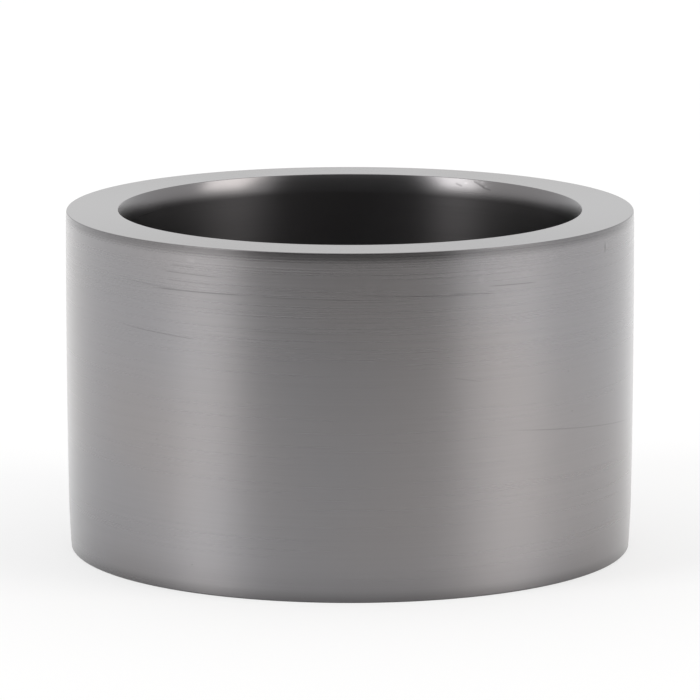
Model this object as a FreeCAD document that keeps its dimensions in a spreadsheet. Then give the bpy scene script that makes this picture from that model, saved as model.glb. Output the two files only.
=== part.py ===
"""Foundry crucible, turned from one solid blank of graphite.

A short, thick-walled pot: the outer wall is very slightly barrelled and sweeps in at the
foot and at the shoulder, the rim is a flat ground ring whose inner edge flares into a
straight round cavity, and the cavity ends in a flat floor with a rounded corner.

Frame: millimetres, +Z up, origin at the centre of the base.
"""
import FreeCAD, Part
import math
import os

import Sketcher
from FreeCAD import Vector

# Driving dimensions in millimetres: name, size, meaning.
DIMENSIONS = [
    ("outer_diameter", 100.0, "widest diameter of the wall, at its crown"),
    ("overall_height", 60.0, "base to rim"),
    ("bore_diameter", 80.0, "straight part of the cavity"),
    ("floor_thickness", 10.0, "solid under the cavity"),
    ("floor_corner_radius", 8.0, "cavity wall to cavity floor"),
    ("crown_height", 38.0, "height of the widest point of the wall"),
    ("upper_wall_radius", 3000.0, "barrelling from the crown up to the shoulder"),
    ("lower_wall_radius", 2100.0, "barrelling from the crown down to the foot"),
    ("shoulder_depth", 2.2, "height of the shoulder, from the rim down"),
    ("shoulder_radius", 26.0, "sweep of the shoulder in towards the rim"),
    ("foot_height", 10.0, "height of the foot, from the base up"),
    ("foot_radius", 165.0, "sweep of the foot in towards the base"),
    ("rim_chamfer", 0.1, "broken outer edge of the rim"),
    ("base_chamfer", 0.2, "broken edge of the base"),
    ("lip_depth", 3.5, "height of the flared lip, from the rim down"),
    ("lip_width", 0.8, "how far the lip flares out from the bore"),
    ("cut_overrun", 2.0, "how far the cavity's cut runs on above the rim"),
]
SHEET = "Dimensions"

# A sketched edge's own points, as Sketcher numbers them, and the sketch's fixed elements.
START, END, CENTRE = range(1, 4)
LEVEL_AXIS, UPRIGHT_AXIS = range(-1, -3, -1)
ORIGIN = (LEVEL_AXIS, START)


def make_sheet(doc):
    """Writes the driving dimensions to a spreadsheet and returns them by name."""
    sheet = doc.addObject("Spreadsheet::Sheet", SHEET)
    for row, (alias, value, meaning) in enumerate(DIMENSIONS, start=1):
        sheet.set(f"A{row}", alias)
        sheet.set(f"B{row}", str(value))
        sheet.set(f"C{row}", meaning)
        sheet.setAlias(f"B{row}", alias)
    doc.recompute()
    return {alias: float(sheet.get(alias)) for alias, _, _ in DIMENSIONS}


def make_section_sketch(body, name):
    """An empty sketch on the body's XZ plane, whose upright axis is the turning axis."""
    sketch = body.newObject("Sketcher::SketchObject", name)
    plane = next(feature for feature in body.Origin.OriginFeatures if feature.Role == "XZ_Plane")
    sketch.AttachmentSupport = (plane, [""])
    sketch.MapMode = "FlatFace"
    return sketch


def line(start, end):
    return Part.LineSegment(Vector(*start, 0), Vector(*end, 0))


def arc(centre, radius, first_angle, last_angle):
    """Anticlockwise arc between two angles in radians."""
    circle = Part.Circle(Vector(*centre, 0), Vector(0, 0, 1), radius)
    return Part.ArcOfCircle(circle, first_angle, last_angle)


def drive_distance(sketch, kind, first, second, expression):
    """Holds the distance from one sketch point to another at a value of the sheet."""
    across = sketch.getPoint(*second) - sketch.getPoint(*first)
    drawn = across.x if kind == "DistanceX" else across.y
    index = sketch.addConstraint(Sketcher.Constraint(kind, *first, *second, drawn))
    sketch.setExpression(f"Constraints[{index}]", expression)


def drive_radius(sketch, edge, expression):
    """Holds the radius of a sketched arc at a value of the sheet."""
    drawn = sketch.Geometry[edge].Radius
    index = sketch.addConstraint(Sketcher.Constraint("Radius", edge, drawn))
    sketch.setExpression(f"Constraints[{index}]", expression)


def wall_arc(start, start_angle, radius, end_height):
    """Centre, end angle and end point of a wall arc that runs on from start to a height.

    start_angle is the direction of the wall's normal at start.
    """
    centre = (start[0] - radius * math.cos(start_angle), start[1] - radius * math.sin(start_angle))
    end_angle = math.asin((end_height - centre[1]) / radius)
    end = (centre[0] + radius * math.cos(end_angle), end_height)
    return centre, end_angle, end


def draw_blank_section(sketch, size):
    """Half section of the blank: base, foot, barrelled wall, shoulder, rim and axis."""
    height = size["overall_height"]
    base_chamfer = size["base_chamfer"]
    rim_chamfer = size["rim_chamfer"]
    lower_radius = size["lower_wall_radius"]
    upper_radius = size["upper_wall_radius"]
    foot_radius = size["foot_radius"]
    shoulder_radius = size["shoulder_radius"]
    crown = (size["outer_diameter"] / 2, size["crown_height"])

    lower_centre, lower_angle, ankle = wall_arc(crown, 0, lower_radius, size["foot_height"])
    foot_centre, foot_angle, foot = wall_arc(ankle, lower_angle, foot_radius, base_chamfer)
    neck_height = height - size["shoulder_depth"]
    upper_centre, upper_angle, neck = wall_arc(crown, 0, upper_radius, neck_height)
    rim_height = height - rim_chamfer
    shoulder_centre, shoulder_angle, rim = wall_arc(neck, upper_angle, shoulder_radius, rim_height)
    base_edge = (foot[0] - base_chamfer, 0)
    rim_edge = (rim[0] - rim_chamfer, height)

    base, base_slope, foot_arc, lower_arc, upper_arc, shoulder_arc, rim_slope, top, axis = (
        sketch.addGeometry([
            line((0, 0), base_edge),
            line(base_edge, foot),
            arc(foot_centre, foot_radius, foot_angle, lower_angle),
            arc(lower_centre, lower_radius, lower_angle, 0),
            arc(upper_centre, upper_radius, 0, upper_angle),
            arc(shoulder_centre, shoulder_radius, upper_angle, shoulder_angle),
            line(rim, rim_edge),
            line(rim_edge, (0, height)),
            line((0, height), (0, 0)),
        ], False)
    )
    sketch.addConstraint([
        Sketcher.Constraint("Coincident", base, START, *ORIGIN),
        Sketcher.Constraint("Coincident", base, END, base_slope, START),
        Sketcher.Constraint("Coincident", base_slope, END, foot_arc, START),
        Sketcher.Constraint("Tangent", foot_arc, END, lower_arc, START),
        Sketcher.Constraint("Tangent", lower_arc, END, upper_arc, START),
        Sketcher.Constraint("Tangent", upper_arc, END, shoulder_arc, START),
        Sketcher.Constraint("Coincident", shoulder_arc, END, rim_slope, START),
        Sketcher.Constraint("Coincident", rim_slope, END, top, START),
        Sketcher.Constraint("Coincident", top, END, axis, START),
        Sketcher.Constraint("Coincident", axis, END, *ORIGIN),
        Sketcher.Constraint("Horizontal", base),
        Sketcher.Constraint("Horizontal", top),
        Sketcher.Constraint("Vertical", axis),
        Sketcher.Constraint("Horizontal", lower_arc, CENTRE, lower_arc, END),
    ])
    drive_radius(sketch, foot_arc, "Dimensions.foot_radius")
    drive_radius(sketch, lower_arc, "Dimensions.lower_wall_radius")
    drive_radius(sketch, upper_arc, "Dimensions.upper_wall_radius")
    drive_radius(sketch, shoulder_arc, "Dimensions.shoulder_radius")
    rim_point = (top, START)
    drive_distance(sketch, "DistanceY", ORIGIN, rim_point, "Dimensions.overall_height")
    drive_distance(sketch, "DistanceX", ORIGIN, (lower_arc, END), "Dimensions.outer_diameter / 2")
    drive_distance(sketch, "DistanceY", ORIGIN, (lower_arc, END), "Dimensions.crown_height")
    drive_distance(sketch, "DistanceY", ORIGIN, (foot_arc, END), "Dimensions.foot_height")
    drive_distance(sketch, "DistanceY", (upper_arc, END), rim_point, "Dimensions.shoulder_depth")
    for kind in ("DistanceX", "DistanceY"):
        drive_distance(sketch, kind, (base_slope, START), (base_slope, END), "Dimensions.base_chamfer")
    drive_distance(sketch, "DistanceX", rim_point, (rim_slope, START), "Dimensions.rim_chamfer")
    drive_distance(sketch, "DistanceY", (rim_slope, START), rim_point, "Dimensions.rim_chamfer")


def draw_cavity_section(sketch, size):
    """Half section of what is bored out: axis, floor, corner, bore, flared lip, overrun."""
    bore = size["bore_diameter"] / 2
    floor = size["floor_thickness"]
    corner = size["floor_corner_radius"]
    height = size["overall_height"]
    mouth = bore + size["lip_width"]
    top = height + size["cut_overrun"]
    lip_foot = height - size["lip_depth"]
    lip_radius = (size["lip_width"] ** 2 + size["lip_depth"] ** 2) / (2 * size["lip_width"])
    lip_angle = math.pi - math.asin(size["lip_depth"] / lip_radius)

    axis, flat, corner_arc, wall, lip_arc, side, lid = sketch.addGeometry([
        line((0, top), (0, floor)),
        line((0, floor), (bore - corner, floor)),
        arc((bore - corner, floor + corner), corner, -math.pi / 2, 0),
        line((bore, floor + corner), (bore, lip_foot)),
        arc((bore + lip_radius, lip_foot), lip_radius, lip_angle, math.pi),
        line((mouth, height), (mouth, top)),
        line((mouth, top), (0, top)),
    ], False)
    sketch.addConstraint([
        Sketcher.Constraint("PointOnObject", axis, END, UPRIGHT_AXIS),
        Sketcher.Constraint("Coincident", axis, END, flat, START),
        Sketcher.Constraint("Tangent", flat, END, corner_arc, START),
        Sketcher.Constraint("Tangent", corner_arc, END, wall, START),
        Sketcher.Constraint("Tangent", wall, END, lip_arc, END),
        Sketcher.Constraint("Coincident", lip_arc, START, side, START),
        Sketcher.Constraint("Coincident", side, END, lid, START),
        Sketcher.Constraint("Coincident", lid, END, axis, START),
        Sketcher.Constraint("Vertical", axis),
        Sketcher.Constraint("Horizontal", flat),
        Sketcher.Constraint("Vertical", wall),
        Sketcher.Constraint("Vertical", side),
        Sketcher.Constraint("Horizontal", lid),
    ])
    drive_radius(sketch, corner_arc, "Dimensions.floor_corner_radius")
    mouth_point = (side, START)
    drive_distance(sketch, "DistanceY", ORIGIN, (flat, START), "Dimensions.floor_thickness")
    drive_distance(sketch, "DistanceX", ORIGIN, (wall, START), "Dimensions.bore_diameter / 2")
    drive_distance(sketch, "DistanceY", ORIGIN, mouth_point, "Dimensions.overall_height")
    drive_distance(sketch, "DistanceX", (wall, END), mouth_point, "Dimensions.lip_width")
    drive_distance(sketch, "DistanceY", (wall, END), mouth_point, "Dimensions.lip_depth")
    drive_distance(sketch, "DistanceY", mouth_point, (side, END), "Dimensions.cut_overrun")


def turn(body, kind, name, sketch):
    """Revolves a half section once round the sketch's upright axis."""
    feature = body.newObject(kind, name)
    feature.Profile = sketch
    feature.ReferenceAxis = (sketch, ["V_Axis"])
    feature.Angle = 360
    return feature


def make_crucible(doc, size):
    """The one solid: the turned blank with its cavity bored out."""
    body = doc.addObject("PartDesign::Body", "Crucible")
    body.Label = "crucible"
    blank_section = make_section_sketch(body, "BlankSection")
    draw_blank_section(blank_section, size)
    blank = turn(body, "PartDesign::Revolution", "Blank", blank_section)
    doc.recompute()

    cavity_section = make_section_sketch(body, "CavitySection")
    draw_cavity_section(cavity_section, size)
    cavity = turn(body, "PartDesign::Groove", "Cavity", cavity_section)
    doc.recompute()
    if cavity.Shape.Volume >= blank.Shape.Volume:
        raise RuntimeError("The cavity took nothing away")
    return body


def check(doc, parts):
    """Stops the build where an object failed or a part isn't one valid solid."""
    for thing in doc.Objects:
        if {"Invalid", "Error"} & set(thing.State):
            raise RuntimeError(f"{thing.Label} failed: {thing.State}")
    for part in parts:
        shape = part.Shape
        if shape.isNull() or not shape.isValid() or len(shape.Solids) != 1:
            raise RuntimeError(f"{part.Label} isn't one valid solid")


def main():
    doc = FreeCAD.newDocument("FoundryCrucible")
    size = make_sheet(doc)
    parts = [make_crucible(doc, size)]
    check(doc, parts)
    os.makedirs("parts", exist_ok=True)
    for part in parts:
        part.Shape.exportStep(f"parts/{part.Label}.step")
        print(f"{part.Label}: {part.Shape.Volume / 1000:.2f} cm3, {len(part.Shape.Faces)} faces")


main()
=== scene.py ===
import math

import bpy
import numpy as np
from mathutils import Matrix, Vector


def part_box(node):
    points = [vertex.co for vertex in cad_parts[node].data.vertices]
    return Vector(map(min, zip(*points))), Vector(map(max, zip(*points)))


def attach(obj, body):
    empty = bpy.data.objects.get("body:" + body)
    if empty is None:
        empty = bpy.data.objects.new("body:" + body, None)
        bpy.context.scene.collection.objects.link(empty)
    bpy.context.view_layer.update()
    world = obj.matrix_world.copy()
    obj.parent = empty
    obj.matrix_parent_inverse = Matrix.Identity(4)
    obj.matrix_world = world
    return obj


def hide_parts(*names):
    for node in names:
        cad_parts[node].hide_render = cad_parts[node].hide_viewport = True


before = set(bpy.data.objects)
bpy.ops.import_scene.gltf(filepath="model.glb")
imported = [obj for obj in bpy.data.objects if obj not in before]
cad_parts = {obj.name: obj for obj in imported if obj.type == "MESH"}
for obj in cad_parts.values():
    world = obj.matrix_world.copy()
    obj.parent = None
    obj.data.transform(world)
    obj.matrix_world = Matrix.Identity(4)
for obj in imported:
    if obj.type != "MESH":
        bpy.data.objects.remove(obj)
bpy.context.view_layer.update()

NODE = "crucible"
MM = 0.001

_, node_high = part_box(NODE)

# The turned shape, as the CAD solid has it. Its outer radius and height come from the frame.
OUTER_RADIUS = node_high.y
HEIGHT = node_high.z
BORE_RADIUS = 40 * MM
FLOOR_THICKNESS = 10 * MM
FLOOR_CORNER_RADIUS = 8 * MM
CROWN_HEIGHT = 38 * MM
UPPER_WALL_RADIUS = 3000 * MM
LOWER_WALL_RADIUS = 2100 * MM
SHOULDER_DEPTH = 2.2 * MM
SHOULDER_RADIUS = 26 * MM
FOOT_HEIGHT = 10 * MM
FOOT_RADIUS = 165 * MM
RIM_CHAMFER = 0.1 * MM
BASE_CHAMFER = 0.2 * MM
LIP_DEPTH = 3.5 * MM
LIP_WIDTH = 0.8 * MM

# How finely the mesh follows it, and how its edges are rounded.
COLUMNS = 480
LIP_ROUND = 0.12 * MM
EDGE_SUPPORT = 0.04 * MM
EDGE_CLEARANCE = 1.3

# The graphite: how much light it mirrors, how rough it is, and its cooler and warmer patches.
WALL_BASE = 0.235
# The bore's lower level is painted shade in the hollow.
BORE_BASE_PAINTED_SHADE = 0.19
RIM_BASE = 0.20
WALL_ROUGH = 0.285
RIM_ROUGH = 0.16
ANISOTROPY = 0.66
COOL_TINT = (1.01, 0.99, 1.02, 1)
WARM_TINT = (1.035, 0.99, 0.995, 1)

# The lathe's lines: what they do to the colour, the roughness and the relief, the share of broad
# ones, and how much of them is left low on the wall, on the rim and in the bore.
LINE_COLOUR = 0.09
LINE_ROUGH = 0.06
RELIEF_STRENGTH = 0.4
RELIEF_DEPTH = 0.01 * MM
BROAD_LINES = 0.7
LOW_LINES = 0.4
RIM_LINES = 0.15
BORE_LINES = 0.25

# How far the foot and the edge under the rim are darkened with painted shade, and how far the marks
# change the colour or the surface.
# Painted shade: the foot is darkened where it mirrors the floor's contact shadow.
FOOT_PAINTED_SHADE = 0.1
FOOT_EDGE_PAINTED_SHADE = 0.3
# Painted shade: a darker band on the wall under the rim.
UNDER_RIM_PAINTED_SHADE = 0.3
MARK_DARK = 0.45
MARK_RELIEF = 2.0
SMUDGE_LIGHT = 0.22
SMUDGE_ROUGH = 0.05
# Lightens the flecks and the painted highlight beside the nick.
FLECK_AND_HIGHLIGHT_LIGHT = 0.3

# The softboxes: azimuth and elevation in degrees, distance, width and height in metres, radiance.
LEFT_SOFTBOX = (-58, 32, 2.4, 1.10, 1.45, 4.2)
LEFT_FILL = (-38, 32, 2.4, 0.7, 1.2, 0.8)
RIGHT_SOFTBOX = (70, 32, 2.4, 1.10, 1.45, 3.4)

# The table: satin for the lamps and the metal, and plain and paler for the camera.
TABLE_SIDE = 1.5
TABLE_FRONT = -0.42
TABLE_BACK = 2.5
TABLE_ALBEDO = 0.75
TABLE_GLOW = 0.1
TABLE_GLOSS = 0.36
TABLE_ROUGH = 0.5
SEEN_ALBEDO = 0.35
SEEN_GLOW = 0.62

# The dark screen behind the camera: its strength, and where it starts and ends its fade, in degrees.
SCREEN_DARK = 0.08
SCREEN_IN = 36
SCREEN_OUT = 50


# ---------------------------------------------------------------- the turned profile

def arc(centre, radius, first, last, count):
    """Points of an arc in the (radius, height) half plane, both ends included."""
    angles = np.linspace(first, last, count)
    return [(centre[0] + radius * math.cos(a), centre[1] + radius * math.sin(a)) for a in angles]


def straight(start, end, count):
    """Points of a straight run, both ends included."""
    return [(start[0] + (end[0] - start[0]) * s, start[1] + (end[1] - start[1]) * s)
            for s in np.linspace(0, 1, count)]


def wall_arc(start, start_angle, radius, end_height, count):
    """A wall arc that leaves start square to start_angle and ends at a height."""
    centre = (start[0] - radius * math.cos(start_angle), start[1] - radius * math.sin(start_angle))
    end_angle = math.asin((end_height - centre[1]) / radius)
    return arc(centre, radius, start_angle, end_angle, count), end_angle


def joined(before, after, radius, count=5):
    """Joins two runs that meet in a corner: a small round, with a point close beside each end."""
    corner = Vector(before[-1])
    back, onward = Vector(before[-2]) - corner, Vector(after[1]) - corner
    cut = radius / math.tan(back.angle(onward) / 2)
    back.normalize()
    onward.normalize()
    hold = cut + EDGE_SUPPORT
    first, last = corner + back * cut, corner + onward * cut
    bend = [first.lerp(corner, s).lerp(corner.lerp(last, s), s) for s in np.linspace(0, 1, count)]
    kept_before = [p for p in before if math.dist(p, corner) > EDGE_CLEARANCE * hold]
    kept_after = [p for p in after if math.dist(p, corner) > EDGE_CLEARANCE * hold]
    middle = [corner + back * hold, *bend, corner + onward * hold]
    return kept_before + [tuple(point) for point in middle] + kept_after


def outer_wall():
    """Foot, barrelled wall and shoulder, from the base chamfer up to the rim chamfer."""
    crown = (OUTER_RADIUS, CROWN_HEIGHT)
    lower, lower_angle = wall_arc(crown, 0, LOWER_WALL_RADIUS, FOOT_HEIGHT, 16)
    foot, _ = wall_arc(lower[-1], lower_angle, FOOT_RADIUS, BASE_CHAMFER, 20)
    upper, upper_angle = wall_arc(crown, 0, UPPER_WALL_RADIUS, HEIGHT - SHOULDER_DEPTH, 12)
    shoulder, _ = wall_arc(upper[-1], upper_angle, SHOULDER_RADIUS, HEIGHT - RIM_CHAMFER, 16)
    return foot[::-1] + lower[-2::-1] + upper[1:] + shoulder[1:]


def profile():
    """The whole half section, from the middle of the base round to the middle of the floor."""
    wall = outer_wall()
    base_edge = (wall[0][0] - BASE_CHAMFER, 0)
    rim_edge = (wall[-1][0] - RIM_CHAMFER, HEIGHT)
    lip_radius = (LIP_WIDTH ** 2 + LIP_DEPTH ** 2) / (2 * LIP_WIDTH)
    lip_centre = (BORE_RADIUS + lip_radius, HEIGHT - LIP_DEPTH)
    lip_angle = math.pi - math.asin(LIP_DEPTH / lip_radius)
    lip = arc(lip_centre, lip_radius, lip_angle, math.pi, 26)
    corner_centre = (BORE_RADIUS - FLOOR_CORNER_RADIUS, FLOOR_THICKNESS + FLOOR_CORNER_RADIUS)
    floor_corner = arc(corner_centre, FLOOR_CORNER_RADIUS, 0, -math.pi / 2, 14)

    middle = 1 * MM
    points = straight((middle, 0), base_edge, 8)
    points = joined(points, [base_edge, wall[0]], BASE_CHAMFER / 2, 3)
    points = joined(points, wall, BASE_CHAMFER / 2, 3)
    points = joined(points, [wall[-1], rim_edge], RIM_CHAMFER / 2, 3)
    points = joined(points, straight(rim_edge, lip[0], 8), RIM_CHAMFER / 2, 3)
    points = joined(points, lip, LIP_ROUND)
    points += straight(lip[-1], floor_corner[0], 16)[1:-1]
    points += floor_corner
    points += straight(floor_corner[-1], (middle, FLOOR_THICKNESS), 8)[1:]
    return np.array(points)


def turned_mesh(name):
    """A closed mesh: the profile turned about Z, with a point at the middle of each end."""
    section = profile()
    angles = np.linspace(0, 2 * math.pi, COLUMNS, endpoint=False)
    rows, columns = len(section), COLUMNS
    around = np.stack([np.cos(angles), np.sin(angles)], axis=1)
    grid = np.empty((rows, columns, 3))
    grid[:, :, :2] = section[:, None, :1] * around[None, :, :]
    grid[:, :, 2] = section[:, 1, None]
    base_middle = rows * columns
    floor_middle = base_middle + 1
    points = [*grid.reshape(-1, 3), (0, 0, section[0][1]), (0, 0, section[-1][1])]

    faces = []
    for column in range(columns):
        beside = (column + 1) % columns
        faces.append((base_middle, beside, column))
        last = (rows - 1) * columns
        faces.append((last + column, last + beside, floor_middle))
    for row in range(rows - 1):
        here = row * columns
        above = here + columns
        for column in range(columns):
            beside = (column + 1) % columns
            faces.append((here + column, here + beside, above + beside, above + column))

    mesh = bpy.data.meshes.new(name)
    mesh.from_pydata([tuple(p) for p in points], [], faces)
    mesh.polygons.foreach_set("use_smooth", [True] * len(mesh.polygons))
    mesh.update()
    return mesh


# ---------------------------------------------------------------- materials

class Graph:
    """A material's node tree, with short ways to add the nodes that the patterns need."""

    def __init__(self, name):
        self.material = bpy.data.materials.new(name)
        self.material.use_nodes = True
        self.nodes = self.material.node_tree.nodes
        self.links = self.material.node_tree.links
        self.nodes.clear()

    def add(self, kind, **settings):
        node = self.nodes.new("ShaderNode" + kind)
        for key, value in settings.items():
            setattr(node, key, value)
        return node

    def feed(self, socket, value):
        if isinstance(value, bpy.types.NodeSocket):
            self.links.new(value, socket)
        else:
            socket.default_value = value

    def calc(self, operation, *values):
        node = self.add("Math", operation=operation)
        for socket, value in zip(node.inputs, values):
            self.feed(socket, value)
        return node.outputs[0]

    def ramp(self, value, low, high, out_low=0.0, out_high=1.0):
        """Fades smoothly from one number to another as the value goes from low to high."""
        node = self.add("MapRange", interpolation_type="SMOOTHSTEP")
        for socket, number in zip(node.inputs, (value, low, high, out_low, out_high)):
            self.feed(socket, number)
        return node.outputs["Result"]

    def vector(self, x, y, z):
        node = self.add("CombineXYZ")
        for socket, value in zip(node.inputs, (x, y, z)):
            self.feed(socket, value)
        return node.outputs["Vector"]

    def noise(self, vector, detail, roughness):
        """Noise about 0, from -1 to 1."""
        node = self.add("TexNoise", noise_dimensions="3D")
        self.feed(node.inputs["Vector"], vector)
        node.inputs["Scale"].default_value = 1
        node.inputs["Detail"].default_value = detail
        node.inputs["Roughness"].default_value = roughness
        return self.calc("MULTIPLY_ADD", node.outputs["Fac"], 2.0, -1.0)

    def scaled(self, value, mask, change):
        """A number, changed by a share of itself where the mask is 1."""
        return self.calc("MULTIPLY", value, self.calc("MULTIPLY_ADD", mask, change, 1.0))

    def strongest(self, masks):
        """The strongest of several masks at each point."""
        most = 0.0
        for mask in masks:
            most = self.calc("MAXIMUM", most, mask)
        return most

    def tint(self, colour, factor):
        """A colour times a number."""
        node = self.add("VectorMath", operation="SCALE")
        self.feed(node.inputs[0], colour)
        self.feed(node.inputs["Scale"], factor)
        return node.outputs["Vector"]

    def blend(self, share, first, second):
        node = self.add("Mix", data_type="RGBA")
        self.feed(node.inputs["Factor"], share)
        self.feed(node.inputs["A"], first)
        self.feed(node.inputs["B"], second)
        return node.outputs["Result"]


# Wear on the outer wall and the lip. Angles are in degrees to the right of the front, the rest in mm.
# Fine dark scratches, almost along the lathe's lines: from angle and height to angle and height,
# width, strength.
SCRATCHES = (
    (-43, 52.2, -19, 52.4, 0.16, 0.80),
    (-52, 52.9, -30, 52.2, 0.12, 0.35),
    (-40, 55.3, -25, 55.1, 0.14, 0.55),
    (-38, 56.5, -31, 56.4, 0.12, 0.45),
    (-40, 53.9, -25, 53.7, 0.10, 0.40),
    (-20, 52.3, 4, 52.1, 0.12, 0.45),
    (-1, 53.0, 27, 52.2, 0.14, 0.50),
    (19, 52.7, 30, 52.2, 0.12, 0.60),
    (27, 53.5, 40, 53.3, 0.14, 0.65),
    (-52, 44.9, -30, 44.1, 0.12, 0.55),
    (-23, 46.4, 1, 46.2, 0.10, 0.25),
    (30, 28.6, 80, 24.2, 0.16, 0.40),
    (20, 38.3, 27, 37.2, 0.12, 0.30),
)
# Pale smudges: angle, height, half width, half height, strength.
SMUDGES = (
    (-32.5, 57.8, 1.6, 0.9, 1.0),
    (-42.7, 57.2, 1.4, 0.9, 0.6),
    (-36.5, 58.3, 2.5, 0.6, 0.4),
    (26.4, 55.6, 1.0, 2.6, 0.7),
    (24.8, 57.2, 0.8, 0.8, 0.5),
    (36.3, 55.4, 1.1, 0.9, 0.5),
    (43.0, 56.8, 2.0, 0.9, 0.3),
    (4.0, 54.0, 1.2, 2.0, 0.25),
)
# Chips in the back right of the lip, as scratches are given, and the bright flecks beside them.
CHIPS = (
    (149.4, 58.6, 151.8, 59.1, 0.28, 0.75),
    (140.4, 58.4, 143.4, 58.75, 0.25, 0.60),
    (142.4, 58.6, 145.2, 59.35, 0.30, 0.90),
    (144.3, 59.15, 146.7, 59.75, 0.28, 0.80),
)
FLECKS = (
    (148.6, 59.25, 0.7, 0.25, 0.6),
    (143.6, 59.7, 0.9, 0.3, 1.0),
    (142.4, 58.95, 0.6, 0.25, 0.6),
)
# A nick high on the wall at the right, and a painted highlight on the edge beside it.
NICK = (61.3, 56.85, 0.4, 1.4, 0.7)
NICK_HIGHLIGHT = (62.1, 57.2, 0.35, 0.7, 0.6)
# Tiny pits: angle, height, half width, half height, strength.
PITS = (
    (-32.8, 5.0, 0.16, 0.16, 0.8),
    (-41.2, 26.0, 0.2, 0.2, 0.5),
    (48.2, 37.0, 0.2, 0.2, 0.6),
    (49.5, 29.9, 0.2, 0.2, 0.6),
)


def lathe_lines(graph, x, y, height, radius, along, across):
    """Noise drawn out round the axis: across lines a metre up or out, along lines a metre round."""
    step = graph.calc("MULTIPLY", graph.calc("ADD", height, radius), across)
    vector = graph.vector(graph.calc("MULTIPLY", x, along), graph.calc("MULTIPLY", y, along), step)
    return graph.noise(vector, 1.5, 0.6)


def scratch_mask(graph, along, height, mark):
    """How deep a scratch is at a point of the wall: 0 beside it, up to its strength in it."""
    first, low, last, high, width, strength = mark
    start, end = math.radians(first) * OUTER_RADIUS, math.radians(last) * OUTER_RADIUS
    slope = (high - low) * MM / (end - start)
    line = graph.calc("MULTIPLY_ADD", along, slope, low * MM - start * slope)
    off = graph.calc("ABSOLUTE", graph.calc("SUBTRACT", height, line))
    across = graph.ramp(off, 0.0, width * MM, strength, 0.0)
    middle, half = (start + end) / 2, (end - start) / 2
    ends = graph.calc("ABSOLUTE", graph.calc("SUBTRACT", along, middle))
    return graph.calc("MULTIPLY", across, graph.ramp(ends, half * 0.55, half, 1.0, 0.0))


def spot_mask(graph, along, height, mark):
    """A soft round or oval spot."""
    angle, up, half_width, half_height, strength = mark
    wide = graph.calc("SUBTRACT", along, math.radians(angle) * OUTER_RADIUS)
    tall = graph.calc("SUBTRACT", height, up * MM)
    place = graph.vector(
        graph.calc("DIVIDE", wide, half_width * MM), graph.calc("DIVIDE", tall, half_height * MM), 0.0,
    )
    length = graph.add("VectorMath", operation="LENGTH")
    graph.feed(length.inputs[0], place)
    return graph.ramp(length.outputs["Value"], 0.2, 1.0, strength, 0.0)


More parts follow.
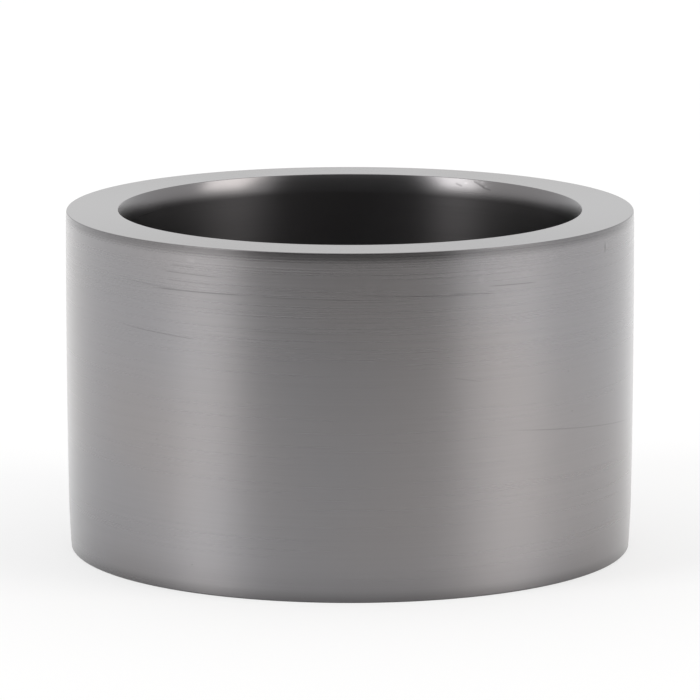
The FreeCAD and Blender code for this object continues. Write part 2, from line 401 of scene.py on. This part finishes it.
def graphite():
    """Turned, polished graphite: dark, metallic, with the lathe's lines round the axis."""
    graph = Graph("polished_graphite")
    place = graph.add("TexCoord").outputs["Object"]
    split = graph.add("SeparateXYZ")
    graph.feed(split.inputs["Vector"], place)
    x, y, height = split.outputs
    square = graph.calc("ADD", graph.calc("MULTIPLY", x, x), graph.calc("MULTIPLY", y, y))
    radius = graph.calc("SQRT", square)
    turn = graph.calc("ARCTAN2", x, graph.calc("MULTIPLY", y, -1.0))
    along = graph.calc("MULTIPLY", turn, OUTER_RADIUS)

    # Where on the crucible a point is.
    on_wall = graph.ramp(radius, OUTER_RADIUS - 1.2 * MM, OUTER_RADIUS - 0.7 * MM)
    in_bore = graph.ramp(radius, BORE_RADIUS + 0.8 * MM, BORE_RADIUS + 1.0 * MM, 1.0, 0.0)
    on_rim = graph.ramp(height, HEIGHT - 0.06 * MM, HEIGHT - 0.02 * MM)
    near_top = graph.ramp(height, 34 * MM, 56 * MM)
    # Painted shade: darker towards the foot, and darker still at its edge.
    foot_shade = graph.ramp(height, 0.0, 7 * MM, 1.0, 0.0)
    foot_edge_shade = graph.ramp(height, 0.0, 2.4 * MM, 1.0, 0.0)
    # Painted shade: a darker band on the wall just under the rim.
    under_rim_shade = graph.ramp(height, HEIGHT - 2.0 * MM, HEIGHT - 0.6 * MM)
    under_rim_shade = graph.calc("MULTIPLY", under_rim_shade, on_wall)
    under_rim_shade = graph.calc("MULTIPLY", under_rim_shade, graph.calc("SUBTRACT", 1.0, on_rim))

    # The lathe's lines, stronger near the rim of the pot and weaker on its ring and in the bore.
    fine = lathe_lines(graph, x, y, height, radius, 24.0, 4600.0)
    broad = lathe_lines(graph, x, y, height, radius, 7.0, 2300.0)
    lines = graph.calc("MULTIPLY_ADD", broad, BROAD_LINES, fine)
    left = graph.calc("MULTIPLY_ADD", near_top, 1.0 - LOW_LINES, LOW_LINES)
    depth = graph.calc("MULTIPLY", lines, left)
    depth = graph.scaled(depth, on_rim, RIM_LINES - 1.0)
    depth = graph.scaled(depth, in_bore, BORE_LINES - 1.0)

    # Dark marks: scratches, pits and the nick on the wall, and the chips in the lip.
    scratches = graph.strongest(scratch_mask(graph, along, height, mark) for mark in SCRATCHES)
    pits = graph.strongest(spot_mask(graph, along, height, mark) for mark in (*PITS, NICK))
    dark = graph.calc("MULTIPLY", graph.calc("MAXIMUM", scratches, pits), on_wall)
    chips = graph.strongest(scratch_mask(graph, along, height, mark) for mark in CHIPS)
    dark = graph.calc("MAXIMUM", dark, graph.calc("MULTIPLY", chips, in_bore))

    # Pale marks: flecks beside the chips, a painted highlight beside the nick, and broken smudges on
    # the wall.
    flecks_and_highlight = graph.strongest(spot_mask(graph, along, height, mark) for mark in FLECKS)
    flecks_and_highlight = graph.calc("MULTIPLY", flecks_and_highlight, in_bore)
    # Painted highlight: the bright edge beside the nick.
    edge = graph.calc("MULTIPLY", spot_mask(graph, along, height, NICK_HIGHLIGHT), on_wall)
    flecks_and_highlight = graph.calc("MAXIMUM", flecks_and_highlight, edge)
    smudges = graph.strongest(spot_mask(graph, along, height, mark) for mark in SMUDGES)
    broken = graph.ramp(graph.noise(graph.tint(place, 900.0), 4.0, 0.7), -0.3, 0.6)
    smudges = graph.calc("MULTIPLY", graph.calc("MULTIPLY", smudges, broken), on_wall)

    # Colour: a bore darkened with painted shade, cooler and warmer patches, painted shade at the foot
    # and under the rim, and the marks.
    patches = graph.noise(graph.tint(place, 28.0), 1.0, 0.5)
    base = graph.blend(graph.ramp(patches, -0.35, 0.35), COOL_TINT, WARM_TINT)
    # The bore's lower level here is painted shade in the hollow.
    level = graph.calc("MULTIPLY_ADD", in_bore, BORE_BASE_PAINTED_SHADE - WALL_BASE, WALL_BASE)
    level = graph.calc("MULTIPLY_ADD", on_rim, RIM_BASE - WALL_BASE, level)
    for mask, change in (
        (depth, LINE_COLOUR),
        (foot_shade, -FOOT_PAINTED_SHADE),
        (foot_edge_shade, -FOOT_EDGE_PAINTED_SHADE),
        (under_rim_shade, -UNDER_RIM_PAINTED_SHADE),
        (dark, -MARK_DARK),
        (smudges, SMUDGE_LIGHT),
        (flecks_and_highlight, FLECK_AND_HIGHLIGHT_LIGHT),
    ):
        level = graph.scaled(level, mask, change)
    colour = graph.tint(base, level)

    # Roughness: the ring is lapped smoother, and lines and smudges are a little rougher.
    rough = graph.calc("MULTIPLY_ADD", depth, LINE_ROUGH, WALL_ROUGH)
    rough = graph.calc("MULTIPLY_ADD", smudges, SMUDGE_ROUGH, rough)
    rough = graph.calc("MULTIPLY_ADD", on_rim, RIM_ROUGH - WALL_ROUGH, rough)

    # Relief: a few microns of it.
    bump = graph.add("Bump")
    bump.inputs["Strength"].default_value = RELIEF_STRENGTH
    bump.inputs["Distance"].default_value = RELIEF_DEPTH
    graph.feed(bump.inputs["Height"], graph.calc("MULTIPLY_ADD", dark, -MARK_RELIEF, depth))

    tangent = graph.add("Tangent", direction_type="RADIAL", axis="Z")
    shader = graph.add("BsdfPrincipled")
    shader.inputs["Metallic"].default_value = 1
    shader.inputs["Anisotropic"].default_value = ANISOTROPY
    shader.inputs["Anisotropic Rotation"].default_value = 0.25
    graph.feed(shader.inputs["Base Color"], colour)
    graph.feed(shader.inputs["Roughness"], rough)
    graph.feed(shader.inputs["Normal"], bump.outputs["Normal"])
    graph.feed(shader.inputs["Tangent"], tangent.outputs["Tangent"])
    output = graph.add("OutputMaterial")
    graph.feed(output.inputs["Surface"], shader.outputs["BSDF"])
    return graph.material


def plain(graph, albedo, glow):
    """A matt pale surface that also glows a little."""
    shader = graph.add("BsdfPrincipled")
    shader.inputs["Base Color"].default_value = (albedo, albedo, albedo, 1)
    shader.inputs["Roughness"].default_value = 0.9
    shader.inputs["Specular IOR Level"].default_value = 0
    shader.inputs["Emission Color"].default_value = (1, 1, 1, 1)
    shader.inputs["Emission Strength"].default_value = glow
    return shader.outputs["BSDF"]


def table_material():
    """A pale satin table top. Only the camera sees it plain and near white, with the shadow on it.

    The metal sees the satin one, because its broad upright bands are the lamps in that satin.
    """
    graph = Graph("pale_table")
    seen = plain(graph, SEEN_ALBEDO, SEEN_GLOW)
    gloss = graph.add("BsdfGlossy")
    gloss.inputs["Color"].default_value = (TABLE_GLOSS, TABLE_GLOSS, TABLE_GLOSS, 1)
    gloss.inputs["Roughness"].default_value = TABLE_ROUGH
    satin = graph.add("AddShader")
    graph.feed(satin.inputs[0], plain(graph, TABLE_ALBEDO, TABLE_GLOW))
    graph.feed(satin.inputs[1], gloss.outputs["BSDF"])
    path = graph.add("LightPath")
    mix = graph.add("MixShader")
    graph.feed(mix.inputs["Fac"], path.outputs["Is Camera Ray"])
    graph.feed(mix.inputs[1], satin.outputs["Shader"])
    graph.feed(mix.inputs[2], seen)
    output = graph.add("OutputMaterial")
    graph.feed(output.inputs["Surface"], mix.outputs["Shader"])
    return graph.material


def screen_material():
    """The unlit side of the studio: dark in the middle, fading to white at both ends."""
    graph = Graph("dark_screen")
    split = graph.add("SeparateXYZ")
    graph.feed(split.inputs["Vector"], graph.add("TexCoord").outputs["Object"])
    turn = graph.calc("ARCTAN2", split.outputs["X"], graph.calc("MULTIPLY", split.outputs["Y"], -1.0))
    edge_in, edge_out = math.radians(SCREEN_IN), math.radians(SCREEN_OUT)
    strength = graph.ramp(graph.calc("ABSOLUTE", turn), edge_in, edge_out, SCREEN_DARK, 1.0)
    glow = graph.add("Emission")
    graph.feed(glow.inputs["Strength"], strength)
    output = graph.add("OutputMaterial")
    graph.feed(output.inputs["Surface"], glow.outputs["Emission"])
    return graph.material


# ---------------------------------------------------------------- studio

def studio_world():
    """A white room, which the camera and the metal both see."""
    world = bpy.data.worlds.new("studio")
    world.use_nodes = True
    backdrop = world.node_tree.nodes["Background"]
    backdrop.inputs["Color"].default_value = (1, 1, 1, 1)
    backdrop.inputs["Strength"].default_value = 1
    bpy.context.scene.world = world


def softbox(name, azimuth, elevation, distance, width, height, radiance, colour):
    """A soft rectangular light that faces the crucible. Azimuth 0 is the camera's side."""
    light = bpy.data.lights.new(name, "AREA")
    light.shape = "RECTANGLE"
    light.size = width
    light.size_y = height
    light.energy = radiance * math.pi * width * height
    light.color = colour
    lamp = bpy.data.objects.new(name, light)
    turn, rise = math.radians(azimuth), math.radians(elevation)
    target = Vector((0, 0, HEIGHT / 2))
    lamp.location = target + distance * Vector((
        math.sin(turn) * math.cos(rise), -math.cos(turn) * math.cos(rise), math.sin(rise),
    ))
    lamp.rotation_euler = (target - lamp.location).to_track_quat("-Z", "Y").to_euler()
    lamp.visible_camera = False
    bpy.context.collection.objects.link(lamp)
    return lamp


def stage_piece(name, points, faces, material):
    mesh = bpy.data.meshes.new(name)
    mesh.from_pydata(points, [], faces)
    mesh.materials.append(material)
    piece = bpy.data.objects.new(name, mesh)
    bpy.context.collection.objects.link(piece)
    return piece


def table_top():
    """The table: wide and deep behind the crucible, shorter towards the camera."""
    corners = [
        (-TABLE_SIDE, TABLE_FRONT, 0), (TABLE_SIDE, TABLE_FRONT, 0),
        (TABLE_SIDE, TABLE_BACK, 0), (-TABLE_SIDE, TABLE_BACK, 0),
    ]
    stage_piece("table", corners, [(0, 1, 2, 3)], table_material())


def dark_screen():
    """A curved screen behind the camera, which the camera doesn't see and the metal does."""
    radius, bottom, top, count = 1.6, -0.8, 2.2, 41
    turns = np.radians(np.linspace(-SCREEN_OUT, SCREEN_OUT, count))
    rim = [(radius * math.sin(a), -radius * math.cos(a)) for a in turns]
    points = [(x, y, bottom) for x, y in rim] + [(x, y, top) for x, y in rim]
    faces = [(i, i + 1, count + i + 1, count + i) for i in range(count - 1)]
    screen = stage_piece("dark_screen", points, faces, screen_material())
    screen.visible_camera = False


# The camera is ten diameters from the rim and looks slightly down on it.
CAMERA_DISTANCE = 20 * OUTER_RADIUS
CAMERA_ELEVATION = math.radians(8.77)
CAMERA_PITCH = math.radians(10.2)
LENS = 292.4


def make_camera():
    camera = bpy.data.objects.new("camera", bpy.data.cameras.new("camera"))
    camera.data.lens = LENS
    camera.data.sensor_width = 36
    camera.data.clip_start = 0.01
    rim = Vector((0, 0, HEIGHT))
    camera.location = rim + CAMERA_DISTANCE * Vector((
        0, -math.cos(CAMERA_ELEVATION), math.sin(CAMERA_ELEVATION),
    ))
    camera.rotation_euler = (math.pi / 2 - CAMERA_PITCH, 0, 0)
    bpy.context.collection.objects.link(camera)
    bpy.context.scene.camera = camera


# ---------------------------------------------------------------- the scene

crucible = bpy.data.objects.new("crucible_finish", turned_mesh("crucible_finish"))
bpy.context.collection.objects.link(crucible)
crucible.data.materials.append(graphite())
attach(crucible, "root")
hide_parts(NODE)

studio_world()
table_top()
dark_screen()
softbox("left_softbox", *LEFT_SOFTBOX, (1, 1, 1))
softbox("left_fill", *LEFT_FILL, (0.85, 0.92, 1))
softbox("right_softbox", *RIGHT_SOFTBOX, (1, 0.96, 0.92))
make_camera()
bpy.context.scene.view_settings.view_transform = "Standard"
